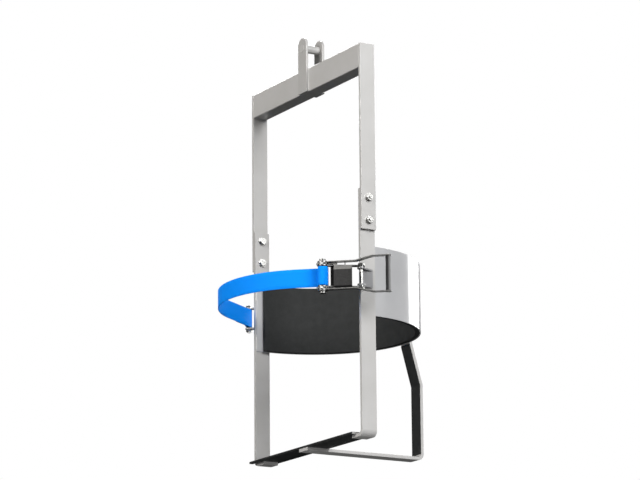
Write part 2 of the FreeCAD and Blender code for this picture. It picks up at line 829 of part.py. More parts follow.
def make_release_slide():
    """Finger plate in the handle; pulled towards the grip it frees the wheels."""
    half = pawl_thickness / 2
    level = -release_offset
    tip = release_tip()
    body_half = strap_width / 2
    flat_half = body_half - release_fold
    flat_low = release_low_edge - release_low_fold
    shoulder_end = release_body_start + release_shoulder
    prong_start = wheel_bottom + release_prong_gap
    prong_end = wheel_bottom + wheel_thickness - release_prong_gap
    pieces = []
    for side, edge in ((-1, release_low_edge), (1, body_half)):
        spans = [(tip, shoulder_end, prong_start, prong_end),
                 (tip + pawl_thickness, tip + pawl_bar, prong_start, handle_outer + 1),
                 (release_body_start + slot_gap, shoulder_end, edge - half, prong_end)]
        for x0, x1, reach0, reach1 in spans:
            z0, z1 = sorted((side * reach0, side * reach1))
            pieces.append(box(x0, x1, level - half, level + half, z0, z1))
    middle = -release_pan_offset
    corners = [V(release_low_edge + half, level, 0), V(release_low_edge, level, 0),
               V(flat_low, middle, 0), V(-flat_half, middle, 0),
               V(-body_half, level, 0), V(-body_half - half, level, 0)]
    length = release_body_end - release_body_start
    pan = ribbon(rounded(corners, pawl_thickness), pawl_thickness).extrude(V(0, 0, length))
    pan = moved(pan, V(release_body_start, 0, 0), FreeCAD.Rotation(V(0, 1, 0), 90))
    front, back = middle - half, middle + half
    lip_start = release_body_end - pawl_thickness
    lip = box(lip_start, release_body_end, front - release_lip, back, -flat_low, flat_half)
    tab_end = release_tab_start + pawl_thickness
    tab = box(release_tab_start, tab_end, front, 0, -release_tab_half, release_tab_half)
    slide = pan.fuse([lip, tab] + pieces).removeSplitter()
    return place(slide, handle_angle)


def make_release_spring():
    start = release_tab_start + pawl_thickness
    y = (-release_pan_offset + pawl_thickness / 2) / 2 - slot_gap
    return place(make_spring(start, release_spring_length, y), handle_angle)


def make_grip():
    half = handle_mid + handle_flare - handle_plate / 2 - 0.2
    ends = [V(handle_reach, 0, -half), V(handle_reach, 0, half)]
    sleeve = rod(grip_radius, *ends)
    rims = [e for e in sleeve.Edges if len(e.Vertexes) == 1]
    sleeve = sleeve.makeChamfer(grip_chamfer, rims)
    return place(sleeve.cut(rod(grip_rod_radius + shaft_gap, *ends)), handle_angle)


def make_grip_rod():
    """Rod through the grip, riveted over outside the handle's sides."""
    half = handle_mid + handle_flare + handle_plate / 2
    bar = rod(grip_rod_radius, V(handle_reach, 0, -half), V(handle_reach, 0, half))
    for side in (-1, 1):
        ends = [V(handle_reach, 0, side * half), V(handle_reach, 0, side * (half + grip_rivet_height))]
        bar = bar.fuse(rod(grip_rivet_radius, *ends))
    return place(bar.removeSplitter(), handle_angle)


def build_frame():
    save("top_beam", make_beam())
    save("lifting_ear_front", make_ear(-1))
    save("lifting_ear_back", make_ear(1))
    save("lifting_pin", make_pin())
    for name, side in (("right", 1), ("left", -1)):
        save("upper_leg_" + name, make_upper_leg(side))
        save("lower_leg_" + name, make_lower_leg(side))
    save("leg_bolts", make_leg_bolts())
    save("leg_washers", make_leg_washers())
    save("leg_nuts", make_leg_nuts())
    save("bottom_crossbar", make_crossbar())
    save("crossbar_screws", make_cross_screws())
    save("rear_post", make_rear_post())
    save("rear_post_lining", make_post_lining())
    save("back_rest", make_back_rest())
    save("back_rest_lining", make_back_lining())


def build_strap():
    grip_right = base_inner + base_plate
    grip_left = anchor_left_half + anchor_plate
    save("strap_anchor_right", make_anchor(1, anchor_right_half))
    save("anchor_bolt_right", make_anchor_bolt(anchor_right, grip_right))
    save("anchor_nut_right", make_anchor_nut(anchor_right, grip_right))
    save("anchor_spacers", make_anchor_spacers())
    save("strap_anchor_left", make_anchor(-1, anchor_left_half))
    save("anchor_bolt_left", make_anchor_bolt(anchor_left, grip_left))
    save("anchor_nut_left", make_anchor_nut(anchor_left, grip_left))
    save("anchor_sleeve_left", make_anchor_sleeve())
    save("strap", make_strap())


def build_buckle():
    for name, side in (("top", 1), ("bottom", -1)):
        save("buckle_side_" + name, make_base_plate(side))
        save("ratchet_wheel_" + name, make_ratchet_wheel(side))
        save("handle_side_" + name, make_handle_plate(side))
    save("buckle_bridge", make_lock_bridge())
    save("lock_pawl", make_lock_pawl())
    save("lock_spring", make_lock_spring())
    save("spool_half_inner", make_spool_half(1))
    save("spool_half_outer", make_spool_half(-1))
    save("spool_washers", make_spool_washers())
    save("spool_cotters", make_spool_cotters())
    save("strap_wrap", make_strap_wrap())
    save("handle_bridge", make_handle_bridge())
    save("release_slide", make_release_slide())
    save("release_spring", make_release_spring())
    save("handle_grip", make_grip())
    save("grip_rod", make_grip_rod())


def main():
    os.makedirs("parts", exist_ok=True)
    build_frame()
    build_strap()
    build_buckle()


main()
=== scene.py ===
import json
import math

import bmesh
import bpy
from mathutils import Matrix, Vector


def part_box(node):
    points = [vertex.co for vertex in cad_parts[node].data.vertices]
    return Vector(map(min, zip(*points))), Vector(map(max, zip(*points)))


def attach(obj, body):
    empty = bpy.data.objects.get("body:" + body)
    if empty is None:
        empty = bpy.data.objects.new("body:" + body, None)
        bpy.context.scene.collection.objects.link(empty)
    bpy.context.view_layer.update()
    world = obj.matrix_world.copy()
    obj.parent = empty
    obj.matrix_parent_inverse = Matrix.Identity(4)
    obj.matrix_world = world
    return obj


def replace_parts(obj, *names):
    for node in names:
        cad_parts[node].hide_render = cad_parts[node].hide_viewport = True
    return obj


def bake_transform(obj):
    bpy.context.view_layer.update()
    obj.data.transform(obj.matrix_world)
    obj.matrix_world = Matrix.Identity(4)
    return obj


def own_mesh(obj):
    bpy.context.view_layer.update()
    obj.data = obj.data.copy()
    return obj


# Looks of a hanging lifter. Metres, in the model's own frame: +Z up, +Y to the back rest.

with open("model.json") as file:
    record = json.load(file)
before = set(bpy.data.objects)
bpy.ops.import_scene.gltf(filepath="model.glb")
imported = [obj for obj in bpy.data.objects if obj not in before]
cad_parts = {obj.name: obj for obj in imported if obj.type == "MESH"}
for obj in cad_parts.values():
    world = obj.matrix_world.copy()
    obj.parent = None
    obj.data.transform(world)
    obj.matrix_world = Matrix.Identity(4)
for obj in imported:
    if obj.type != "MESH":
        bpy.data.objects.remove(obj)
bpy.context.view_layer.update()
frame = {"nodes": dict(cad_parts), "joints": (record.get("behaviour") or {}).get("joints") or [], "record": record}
nodes = frame["nodes"]

# Places of the solids
LOW, HIGH = 0, 1
X, Y, Z = 0, 1, 2


def limit(node, end, axis):
    """Lowest or highest coordinate of a solid at rest."""
    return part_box(node)[end][axis]


def middle(node, axis):
    return (limit(node, LOW, axis) + limit(node, HIGH, axis)) / 2


def joint_place(name):
    return Vector(next(joint["pos_m"] for joint in frame["joints"] if joint["name"] == name))


def angle_of(vector):
    """Angle of a vector in plan, from +X towards +Y."""
    return math.atan2(vector.y, vector.x)


half_bar = limit("upper_leg_right", HIGH, Y)
upper_inner = limit("upper_leg_right", LOW, X)
lower_inner = limit("back_rest", HIGH, X)
beam_bottom = limit("top_beam", LOW, Z)
beam_top = limit("top_beam", HIGH, Z)
ear_face = limit("lifting_ear_back", HIGH, Y)
pin_height = middle("lifting_pin", Z)
pin_radius = limit("lifting_pin", HIGH, X)
rest_bottom = limit("back_rest", LOW, Z)
rest_top = limit("back_rest", HIGH, Z)
rest_front = limit("back_rest", LOW, Y)
rest_back = limit("back_rest", HIGH, Y)
post_top = limit("rear_post", HIGH, Z)
strap_height = middle("strap", Z)
strap_width = limit("strap", HIGH, Z) - limit("strap", LOW, Z)
anchor = joint_place("buckle_swing")
anchor.z = 0
spool = joint_place("spool_turn")
spool.z = 0
along = (anchor - spool).normalized()
buckle_angle = angle_of(along)
eye = Vector((-anchor.x, anchor.y, 0))
sides = ((1, "right"), (-1, "left"))

# Strap: its sizes and the circles that it follows
cradle_y = 0.0145
strap_thickness = 0.0024
strap_mid = 0.3035
strap_over_spool = math.radians(62)
spool_radius = 0.010
wrap_radius = 0.0157
eye_radius = 0.0081
seat_gap = 0.0003
sewn_taper = 0.042
sewn_tail = 0.058


# Materials

def new_material(name):
    material = bpy.data.materials.new(name)
    material.use_nodes = True
    return material, material.node_tree, material.node_tree.nodes["Principled BSDF"]


def noise(tree, scale, detail, roughness=0.5):
    """Noise in object space, so it stays on the part when the part moves."""
    space = tree.nodes.new("ShaderNodeTexCoord")
    texture = tree.nodes.new("ShaderNodeTexNoise")
    texture.inputs["Scale"].default_value = scale
    texture.inputs["Detail"].default_value = detail
    texture.inputs["Roughness"].default_value = roughness
    tree.links.new(space.outputs["Object"], texture.inputs["Vector"])
    return texture.outputs["Fac"]


def ramp(tree, value, stops):
    """Colour ramp over stops of (position, colour)."""
    node = tree.nodes.new("ShaderNodeValToRGB")
    elements = node.color_ramp.elements
    while len(elements) < len(stops):
        elements.new(0.5)
    for element, (position, colour) in zip(elements, stops):
        element.position = position
        element.color = (*colour, 1.0)
    tree.links.new(value, node.inputs["Fac"])
    return node.outputs["Color"]


def map_range(tree, value, ends):
    """Value stretched evenly; ends gives those limits of the node that aren't 0 or 1."""
    node = tree.nodes.new("ShaderNodeMapRange")
    for name, end in ends.items():
        node.inputs[name].default_value = end
    tree.links.new(value, node.inputs["Value"])
    return node.outputs["Result"]


def math_node(tree, operation, *values):
    """Result of a math node; each value is a number or a socket."""
    node = tree.nodes.new("ShaderNodeMath")
    node.operation = operation
    for socket, value in zip(node.inputs, values):
        if isinstance(value, float):
            socket.default_value = value
        else:
            tree.links.new(value, socket)
    return node.outputs[0]


def colour(tree, shader, value, *stops):
    tree.links.new(ramp(tree, value, stops), shader.inputs["Base Color"])


def roughness(tree, shader, value, low, high):
    """Roughness that goes from low to high as the value goes from 0 to 1."""
    spread = map_range(tree, value, {"To Min": low, "To Max": high})
    tree.links.new(spread, shader.inputs["Roughness"])


def bump(tree, shader, height, strength, distance, before=None):
    """Bump on the shader, on top of an earlier one if there is one."""
    node = tree.nodes.new("ShaderNodeBump")
    node.inputs["Strength"].default_value = strength
    node.inputs["Distance"].default_value = distance
    tree.links.new(height, node.inputs["Height"])
    if before is not None:
        tree.links.new(before, node.inputs["Normal"])
    tree.links.new(node.outputs["Normal"], shader.inputs["Normal"])
    return node.outputs["Normal"]


def paint_material(name, dark, light):
    """Light grey sprayed paint: fine orange peel, faint clouding and a few scuffs."""
    material, tree, shader = new_material(name)
    cloud = noise(tree, scale=9.0, detail=6.0)
    colour(tree, shader, cloud, (0.3, dark), (0.7, light))
    scuff = noise(tree, scale=140.0, detail=8.0, roughness=0.7)
    roughness(tree, shader, scuff, low=0.28, high=0.44)
    fine = noise(tree, scale=900.0, detail=2.0)
    peel = bump(tree, shader, fine, strength=0.04, distance=0.0003)
    broad = noise(tree, scale=35.0, detail=3.0)
    bump(tree, shader, broad, strength=0.03, distance=0.0015, before=peel)
    shader.inputs["Specular IOR Level"].default_value = 0.2
    shader.inputs["Coat Weight"].default_value = 0.8
    shader.inputs["Coat Roughness"].default_value = 0.06
    return material


def black_coat_material():
    """Black coating with a fine texture, a little greyer where it is rubbed."""
    material, tree, shader = new_material("black_coating")
    wear = noise(tree, scale=60.0, detail=8.0, roughness=0.65)
    colour(tree, shader, wear, (0.35, (0.009, 0.010, 0.010)), (0.75, (0.028, 0.029, 0.029)))
    roughness(tree, shader, wear, low=0.38, high=0.62)
    shader.inputs["Specular IOR Level"].default_value = 0.25
    bump(tree, shader, noise(tree, scale=1400.0, detail=2.0), strength=0.3, distance=0.0003)
    return material


def two_tone(source, name, axis, place, dark, light, soft=0.00001):
    """Copy of a material with its own tones past a place along one axis of the piece."""
    material = source.copy()
    material.name = name
    tree = material.node_tree
    shader = tree.nodes["Principled BSDF"]
    first = shader.inputs["Base Color"].links[0].from_socket
    space = tree.nodes.new("ShaderNodeTexCoord")
    parts = tree.nodes.new("ShaderNodeSeparateXYZ")
    tree.links.new(space.outputs["Object"], parts.inputs["Vector"])
    ends = {"From Min": place - soft, "From Max": place + soft}
    past = map_range(tree, parts.outputs[axis], ends)
    mix = tree.nodes.new("ShaderNodeMix")
    mix.data_type = "RGBA"
    tree.links.new(past, mix.inputs["Factor"])
    tree.links.new(first, mix.inputs["A"])
    grain = noise(tree, scale=400.0, detail=5.0)
    tree.links.new(ramp(tree, grain, [(0.3, dark), (0.7, light)]), mix.inputs["B"])
    tree.links.new(mix.outputs["Result"], shader.inputs["Base Color"])
    return material


def rubber_material():
    """Matt black rubber with a little dust."""
    material, tree, shader = new_material("rubber")
    dust = noise(tree, scale=45.0, detail=7.0, roughness=0.6)
    colour(tree, shader, dust, (0.3, (0.010, 0.011, 0.011)), (0.8, (0.022, 0.023, 0.023)))
    roughness(tree, shader, dust, low=0.6, high=0.85)
    bump(tree, shader, noise(tree, scale=2200.0, detail=3.0), strength=0.35, distance=0.0002)
    shader.inputs["Specular IOR Level"].default_value = 0.25
    return material


def steel_material(name, light, dark, low, high):
    """Steel of a given tone, from plated steel to a darkened copy that is painted shade: clouded crystals and a
    fine grain.
    """
    material, tree, shader = new_material(name)
    cloud = noise(tree, scale=220.0, detail=6.0, roughness=0.6)
    colour(tree, shader, cloud, (0.3, dark), (0.7, light))
    roughness(tree, shader, cloud, low, high)
    shader.inputs["Metallic"].default_value = 1.0
    bump(tree, shader, noise(tree, scale=1600.0, detail=4.0), strength=0.12, distance=0.0002)
    return material


def grip_material():
    """Moulded black plastic with a matt grain."""
    material, tree, shader = new_material("grip")
    grain = noise(tree, scale=1800.0, detail=3.0)
    colour(tree, shader, grain, (0.3, (0.009, 0.009, 0.010)), (0.7, (0.018, 0.018, 0.019)))
    roughness(tree, shader, grain, low=0.4, high=0.55)
    bump(tree, shader, grain, strength=0.2, distance=0.0003)
    shader.inputs["Specular IOR Level"].default_value = 0.12
    return material


def webbing_material():
    """Blue polyester webbing: chevron weave over ribs that run along the strap."""
    chevron_width, twill_pitch, rib_pitch = 0.0095, 0.0026, 0.0017
    twill_floor = 0.45
    stops = [(0.1, (0.0, 0.158, 0.70)), (0.6, (0.0, 0.264, 0.99)), (1.0, (0.0, 0.297, 1.0))]
    material, tree, shader = new_material("webbing")
    chart = tree.nodes.new("ShaderNodeUVMap")
    chart.uv_map = "weave"
    parts = tree.nodes.new("ShaderNodeSeparateXYZ")
    tree.links.new(chart.outputs["UV"], parts.inputs["Vector"])
    run, across = parts.outputs["X"], parts.outputs["Y"]
    zigzag = math_node(tree, "PINGPONG", across, chevron_width)
    slant = math_node(tree, "ADD", run, zigzag)
    phase = math_node(tree, "MULTIPLY", slant, 2 * math.pi / twill_pitch)
    twill = math_node(tree, "MULTIPLY_ADD", math_node(tree, "SINE", phase), 0.5, 0.5)
    wave = math_node(tree, "SINE", math_node(tree, "MULTIPLY", across, math.pi / rib_pitch))
    rib = math_node(tree, "ABSOLUTE", wave)
    thread = math_node(tree, "MULTIPLY", math_node(tree, "ADD", twill, twill_floor), rib)
    colour(tree, shader, thread, *stops)
    roughness(tree, shader, thread, low=0.72, high=0.5)
    shader.inputs["Specular IOR Level"].default_value = 0.08
    shader.inputs["Sheen Weight"].default_value = 0.03
    shader.inputs["Sheen Roughness"].default_value = 0.4
    weave = bump(tree, shader, thread, strength=0.7, distance=0.0004)
    fuzz = noise(tree, scale=2600.0, detail=3.0)
    bump(tree, shader, fuzz, strength=0.2, distance=0.0002, before=weave)
    return material


def thread_material():
    """Twisted sewing thread, darker than the webbing."""
    material, tree, shader = new_material("thread")
    twist = noise(tree, scale=3000.0, detail=2.0)
    colour(tree, shader, twist, (0.3, (0.003, 0.12, 0.48)), (0.7, (0.006, 0.2, 0.7)))
    shader.inputs["Roughness"].default_value = 0.6
    bump(tree, shader, twist, strength=0.3, distance=0.0002)
    return material


# Where a piece's second tone begins: the crossbar's lighter end face, and the painted highlights on the slide's
# top fold and on the grip's outer side
end_face_start = limit("bottom_crossbar", HIGH, X) - 0.0003
slide_fold = strap_height + 0.0172
grip_outer_side = middle("handle_grip", Y) - 0.002

paint = paint_material("frame_paint", (0.405, 0.40, 0.39), (0.445, 0.44, 0.435))
# Cooler, darker copy of the frame paint for the back rest: painted shade, for the cooler and dimmer light that
# falls on its curved sheet.
rest_shaded_paint = paint_material("rest_shaded_paint", (0.367, 0.369, 0.377), (0.407, 0.409, 0.417))
ear_paint = paint_material("ear_paint", (0.372, 0.368, 0.358), (0.41, 0.405, 0.40))
# Darker copy of the frame paint for the strap anchors: painted shade, for the shadow that the anchor ears cast on
# their webs.
anchor_shaded_paint = paint_material("anchor_shaded_paint", (0.272, 0.272, 0.28), (0.308, 0.308, 0.318))
black_coat = black_coat_material()
# The crossbar's end face is painted a lighter grey.
crossbar_coat = two_tone(
    black_coat, "crossbar_coating", X, end_face_start,
    dark=(0.30, 0.30, 0.29), light=(0.48, 0.48, 0.47)
)
rubber = rubber_material()
zinc = steel_material("zinc_hardware", (0.58, 0.58, 0.56), (0.40, 0.40, 0.39), 0.22, 0.34)
buckle_zinc = steel_material("buckle_steel", (0.30, 0.30, 0.29), (0.19, 0.19, 0.19), 0.32, 0.48)
# Much darker copy of the buckle steel: painted shade, for the dark surroundings that the release slide reflects;
# the lock pawl shares it.
shaded_steel = steel_material(
    "slide_steel", (0.058, 0.058, 0.058), (0.038, 0.038, 0.039), 0.38, 0.52
)
# Lighter tone on the slide's top fold: a painted highlight, for the light that the upward-tilted fold catches from
# above.
slide_steel = two_tone(
    shaded_steel, "slide_painted_highlight", Z, slide_fold,
    dark=(0.185, 0.185, 0.185), light=(0.245, 0.245, 0.235)
)
spring_steel = steel_material("spring_wire", (0.45, 0.45, 0.45), (0.30, 0.30, 0.31), 0.25, 0.40)
# Grey tone on the grip's outer side: a painted highlight, for the bright light that the glossy grip reflects
# there.
grip = two_tone(
    grip_material(), "grip_painted_highlight", Y, grip_outer_side,
    dark=(0.17, 0.17, 0.17), light=(0.24, 0.24, 0.24), soft=0.003
)
webbing = webbing_material()
thread = thread_material()

by_slot = {
    "frame_paint": paint,
    "black_coating": black_coat,
    "rubber": rubber,
    "zinc_hardware": zinc,
    "buckle_steel": buckle_zinc,
    "spring_wire": spring_steel,
    "grip": grip,
    "webbing": webbing,
}

own_material = {
    "release_slide": slide_steel,
    "lock_pawl": shaded_steel,
    "bottom_crossbar": crossbar_coat,
    "back_rest": rest_shaded_paint,
    "lifting_ear_front": ear_paint,
    "lifting_ear_back": ear_paint,
    "strap_anchor_right": anchor_shaded_paint,
    "strap_anchor_left": anchor_shaded_paint,
}

# Rounding of the solids' edges, by material slot
edge_rounding = {
    "frame_paint": 0.0009,
    "black_coating": 0.0007,
    "rubber": 0.0010,
    "zinc_hardware": 0.0004,
    "buckle_steel": 0.00035,
}


def round_edges(solid, width):
    """Join the facets of flat faces, then bevel the sharp edges."""
    weld = solid.modifiers.new("join", "WELD")
    weld.merge_threshold = 0.000005
    flat = solid.modifiers.new("flat", "DECIMATE")
    flat.decimate_type = "DISSOLVE"
    flat.angle_limit = math.radians(0.2)
    bevel = solid.modifiers.new("edges", "BEVEL")
    bevel.width = width
    bevel.segments = 2
    bevel.limit_method = "ANGLE"
    bevel.angle_limit = math.radians(35)
    shade = solid.modifiers.new("shade", "WEIGHTED_NORMAL")
    shade.weight = 100


def dress_solids():
    """Give every solid its material and soften its sharp edges."""
    for entry in frame["record"]["subparts"]:
        solid = nodes[entry["node"]]
        slot = entry["material_slot"]
        solid.data.materials.clear()
        solid.data.materials.append(own_material.get(entry["node"], by_slot[slot]))
        if slot in edge_rounding:
            round_edges(solid, edge_rounding[slot])


# Mesh helpers

def add_object(name, mesh, material, body=None):
    """Object from a bmesh; with a body it rides on that body."""
    bmesh.ops.recalc_face_normals(mesh, faces=mesh.faces)
    data = bpy.data.meshes.new(name)
    mesh.to_mesh(data)
    mesh.free()
    data.materials.append(material)
    data.shade_smooth()
    obj = bpy.data.objects.new(name, data)
    bpy.context.scene.collection.objects.link(obj)
    if body:
        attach(obj, body)
    return obj


def ring(mesh, centre, first, second, count):
    """Vertices on an ellipse; first and second are its half axes."""
    angles = [2 * math.pi * k / count for k in range(count)]
    return [mesh.verts.new(centre + first * math.cos(a) + second * math.sin(a)) for a in angles]


def skin(mesh, rings):
    """Faces over a row of rings, closed at both ends."""
    count = len(rings[0])
    for one, two in zip(rings, rings[1:]):
        for k in range(count):
            n = (k + 1) % count
            mesh.faces.new([one[k], one[n], two[n], two[k]])
    mesh.faces.new(list(reversed(rings[0])))
    mesh.faces.new(rings[-1])


def heading_at(points, index):
    """Direction of a path at one of its points."""
    before = points[max(index - 1, 0)]
    after = points[min(index + 1, len(points) - 1)]
    return (after - before).normalized()


def on_circle(centre, radius, angle):
    return Vector((centre.x + radius * math.cos(angle), centre.y + radius * math.sin(angle), 0))


def sample_line(start, end, step):
    """Points from start up to, but not on, the end."""
    count = max(2, math.ceil((end - start).length / step))
    return [start.lerp(end, k / count) for k in range(count)]


def sample_arc(centre, radius, first, last, step):
    """Points from the first angle up to, but not on, the last."""
    count = max(3, math.ceil(abs(last - first) * radius / step))
    return [on_circle(centre, radius, first + (last - first) * k / count) for k in range(count)]


# Strap

def band_section():
    """Section of the webbing with rounded selvedges: (depth, level) round the outline."""
    half = strap_width / 2
    thick = strap_thickness / 2
    flat_share, rounding, corner = 0.6, 0.0010, 0.0002
    upper = [
        (thick, 0),
        (thick, half * flat_share),
        (thick, half - rounding),
        (thick / 2, half - corner),
        (0, half),
    ]
    upper += [(-depth, level) for depth, level in reversed(upper[:-1])]
    return upper + [(-depth, -level) for depth, level in upper[1:-1]]


def band(name, points, body=None):
    """Strap webbing along a plan path, with a chart for the weave."""
    section = band_section()
    mesh = bmesh.new()
    chart = mesh.loops.layers.uv.new("weave")
    rings, place = [], {}
    run = 0.0
    for index, point in enumerate(points):
        direction = heading_at(points, index)
        side = Vector((-direction.y, direction.x, 0))
        if index:
            run += (point - points[index - 1]).length
        rings.append([])
        for depth, level in section:
            shift = Vector((0, 0, strap_height + level))
            vertex = mesh.verts.new(point + side * depth + shift)
            rings[-1].append(vertex)
            place[vertex] = (run, level + strap_width / 2)
    skin(mesh, rings)
    for face in mesh.faces:
        for loop in face.loops:
            loop[chart].uv = place[loop.vert]
    return add_object(name, mesh, webbing, body)


def strap_points():
    """Plan path of the strap: sewn tail, eye, the arc in front, and onto the spool."""
    straight_step, eye_step, arc_step, spool_step = 0.004, 0.0015, 0.006, 0.0012
    bend_share, bend_steps = 0.1, 4
    axis = Vector((0, cradle_y, 0))
    around_spool = wrap_radius + seat_gap + strap_thickness / 2
    to_eye = eye - axis
    leave = angle_of(to_eye) + math.acos((strap_mid + eye_radius) / to_eye.length)
    to_spool = spool - axis
    reach = angle_of(to_spool) - math.acos((strap_mid + around_spool) / to_spool.length)
    eye_top = on_circle(eye, eye_radius, leave + math.pi)
    arc_start = on_circle(axis, strap_mid, leave)

    # The tail lies on the outside of the strap and bends in to the eye.
    run = (arc_start - eye_top).normalized()
    away = Vector((run.y, -run.x, 0))
    fold = eye_top + run * sewn_taper + away * (strap_thickness + seat_gap)
    tail = fold + run * sewn_tail
    to_fold = fold - eye
    meet_angle = angle_of(to_fold) - math.acos(eye_radius / to_fold.length)
    meet = on_circle(eye, eye_radius, meet_angle)
    end_angle = leave + math.pi
    while end_angle > meet_angle:
        end_angle -= 2 * math.pi
    bend_start = tail.lerp(fold, 1 - bend_share)
    bend_end = fold.lerp(meet, bend_share)
    points = sample_line(tail, bend_start, straight_step)
    for k in range(bend_steps + 1):
        share = k / bend_steps
        points.append(bend_start.lerp(fold, 0.5).lerp(fold.lerp(bend_end, 0.5), share))
    points += sample_line(bend_end, meet, straight_step)
    points += sample_arc(eye, eye_radius, meet_angle, end_angle, eye_step)

    # From the eye along the arc in front and onto the spool
    points += sample_line(eye_top, arc_start, arc_step)
    points += sample_arc(axis, strap_mid, leave, reach, arc_step)
    wrap_start = reach + math.pi
    wrap_end = wrap_start - strap_over_spool
    wrap_top = on_circle(spool, around_spool, wrap_start)
    points += sample_line(on_circle(axis, strap_mid, reach), wrap_top, straight_step)
    points += sample_arc(spool, around_spool, wrap_start, wrap_end, spool_step)
    points.append(on_circle(spool, around_spool, wrap_end))
    return points


def make_strap():
    """Webbing along the strap's path, in the place of the strap's solid."""
    points = strap_points()
    strap = band("strap_webbing", points)
    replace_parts(strap, "strap")
    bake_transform(strap)


def add_stitches(mesh, start, end, outward):
    """Row of raised stitches from start towards end."""
    pitch, length, width = 0.0034, 0.0028, 0.0008
    thin_end, ring_sides = 0.35, 6
    heading = (end - start).normalized()
    across = outward.cross(heading)
    for number in range(int((end - start).length / pitch)):
        rings = []
        for share in (-0.5, -0.25, 0, 0.25, 0.5):
            swell = math.cos(share * math.pi)
            fat = width / 2 * (thin_end + (1 - thin_end) * swell)
            centre = start + heading * (pitch * (number + 0.5) + length * share)
            raised = centre + outward * (swell * width / 2)
            rings.append(ring(mesh, raised, across * fat, outward * fat, ring_sides))
        skin(mesh, rings)


def make_stitching():
    """Rows of stitches that close the strap's eye: a box with crossing diagonals."""
    margin, far, proud = 0.006, 0.050, 0.0001
    high = strap_width / 2 - margin
    points = strap_points()
    tail, near_fold = points[0], points[12]
    direction = (near_fold - tail).normalized()
    outward = Vector((direction.y, -direction.x, 0))
    face = tail + outward * (strap_thickness / 2 + proud) + Vector((0, 0, strap_height))
    box = [(margin, -high), (far, -high), (far, high), (margin, high)]
    corners = [face + direction * x + Vector((0, 0, z)) for x, z in box]
    mesh = bmesh.new()
    for first, last in ((0, 1), (1, 2), (2, 3), (3, 0), (0, 2), (1, 3)):
        add_stitches(mesh, corners[first], corners[last], outward)
    add_object("strap_stitching", mesh, thread, "frame")


def make_roll():
    """Webbing wound on the spool: a strip through the slot and a spiral of layers."""
    turns, spiral_steps, strip_steps = 2.2, 120, 8
    clearance = 0.0002
    inner = spool_radius + clearance + strap_thickness / 2
    outer = wrap_radius - strap_thickness / 2
    points = [spool + along * (inner * (k / strip_steps * 2 - 1)) for k in range(strip_steps)]
    for k in range(spiral_steps + 1):
        share = k / spiral_steps
        radius = inner + (outer - inner) * share
        points.append(on_circle(spool, radius, buckle_angle - turns * 2 * math.pi * share))
    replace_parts(band("strap_roll", points, "spool"), "strap_wrap")


# Springs

def make_spring(node, body, direction, length):
    """Round-wire coil in the place of a spring's solid."""
    wire, turns, steps, wire_sides = 0.00045, 6, 20, 10
    centre = Vector([middle(node, axis) for axis in (X, Y, Z)])
    radius = limit(node, HIGH, Z) - centre.z - wire
    side = Vector((-direction.y, direction.x, 0))
    start = centre - direction * (length / 2 - wire)
    points = []
    for k in range(turns * steps + 1):
        angle = 2 * math.pi * k / steps
        run = (length - 2 * wire) * k / (turns * steps)
        swing = side * (math.cos(angle) * radius) + Vector((0, 0, math.sin(angle) * radius))
        points.append(start + direction * run + swing)
    mesh = bmesh.new()
    rings = []
    for index, point in enumerate(points):
        heading = heading_at(points, index)
        outward = heading.cross(direction).normalized()
        rings.append(ring(mesh, point, outward * wire, heading.cross(outward) * wire, wire_sides))
    skin(mesh, rings)
    coil = add_object(node + "_coil", mesh, spring_steel, body)
    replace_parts(coil, node)
    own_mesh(coil)


def make_springs():
    """Springs behind the release slide and the lock pawl."""
    length = 0.020
    handle_angle = math.radians(48.5)
    to_grip = Vector((math.cos(handle_angle), math.sin(handle_angle), 0))
    make_spring("release_spring", "handle", to_grip, length)
    make_spring("lock_spring", "buckle_base", along, length)


# Weld beads

def bead(name, points, size, into):
    """Rippled weld bead along points; into gives the side that the bead sinks towards."""
    step, bead_sides, flatness = 0.0011, 10, 0.8
    ripple_pitch, ripple_depth = 0.0042, 0.10
    waver_rate, waver_depth = 310.0, 0.04
    end_size, end_growth = 0.45, 0.25
    dense = []
    for start, end in zip(points, points[1:]):
        dense += sample_line(start, end, step)
    dense.append(points[-1])
    mesh = bmesh.new()
    rings = []
    run = 0.0
    for index, point in enumerate(dense):
        direction = heading_at(dense, index)
        if index:
            run += (point - dense[index - 1]).length
        ripple = 1.0 + ripple_depth * abs(math.sin(run * math.pi / ripple_pitch))
        ripple += waver_depth * math.sin(run * waver_rate)
        from_end = min(index, len(dense) - 1 - index)
        radius = size * ripple * min(1.0, end_size + from_end * end_growth)
        first = (into - direction * into.dot(direction)).normalized()
        second = direction.cross(first)
        rings.append(ring(mesh, point, first * (radius * flatness), second * radius, bead_sides))
    skin(mesh, rings)
    add_object(name, mesh, paint, "frame")


def upright_bead(name, x, y, low, high, size, into):
    """Bead straight up from low to high."""
    bead(name, [Vector((x, y, low)), Vector((x, y, high))], size, Vector(into))


def runs_between(low, high, count, gap):
    """Equal stretches of weld with gaps between them."""
    length = (high - low - gap * (count - 1)) / count
    return [(low + k * (length + gap), low + k * (length + gap) + length) for k in range(count)]


def make_beam_welds():
    """Beads at the ears, the lifting pin and the beam's ends."""
    ear_size, size = 0.0016, 0.0010
    short, under_short, pin_gap = 0.004, 0.003, 0.0002
    low, high = beam_bottom + short, beam_top - short
    for face, face_name in ((-1, "front"), (1, "back")):
        y = face * half_bar
        for side, side_name in reversed(sides):
            label = face_name + "_" + side_name
            at_ear, at_end = side * half_bar, side * upper_inner
            upright_bead("ear_weld_" + label, at_ear, y, low, high, ear_size, (-side, -face, 0))
            upright_bead("beam_weld_" + label, at_end, y, low, high, size, (side, -face, 0))
        centre = Vector((0, face * ear_face, pin_height))
        radius = pin_radius + pin_gap
        points = []
        for degrees in range(200, 360, 10):
            angle = math.radians(degrees)
            points.append(centre + Vector((radius * math.cos(angle), 0, radius * math.sin(angle))))
        bead("pin_weld_" + face_name, points, size, Vector((0, -face, 0)))
    for side, side_name in sides:
        ys = (under_short - half_bar, half_bar - under_short)
        ends = [Vector((side * upper_inner, y, beam_bottom)) for y in ys]
        bead("beam_weld_under_" + side_name, ends, size, Vector((side, 0, 1)))


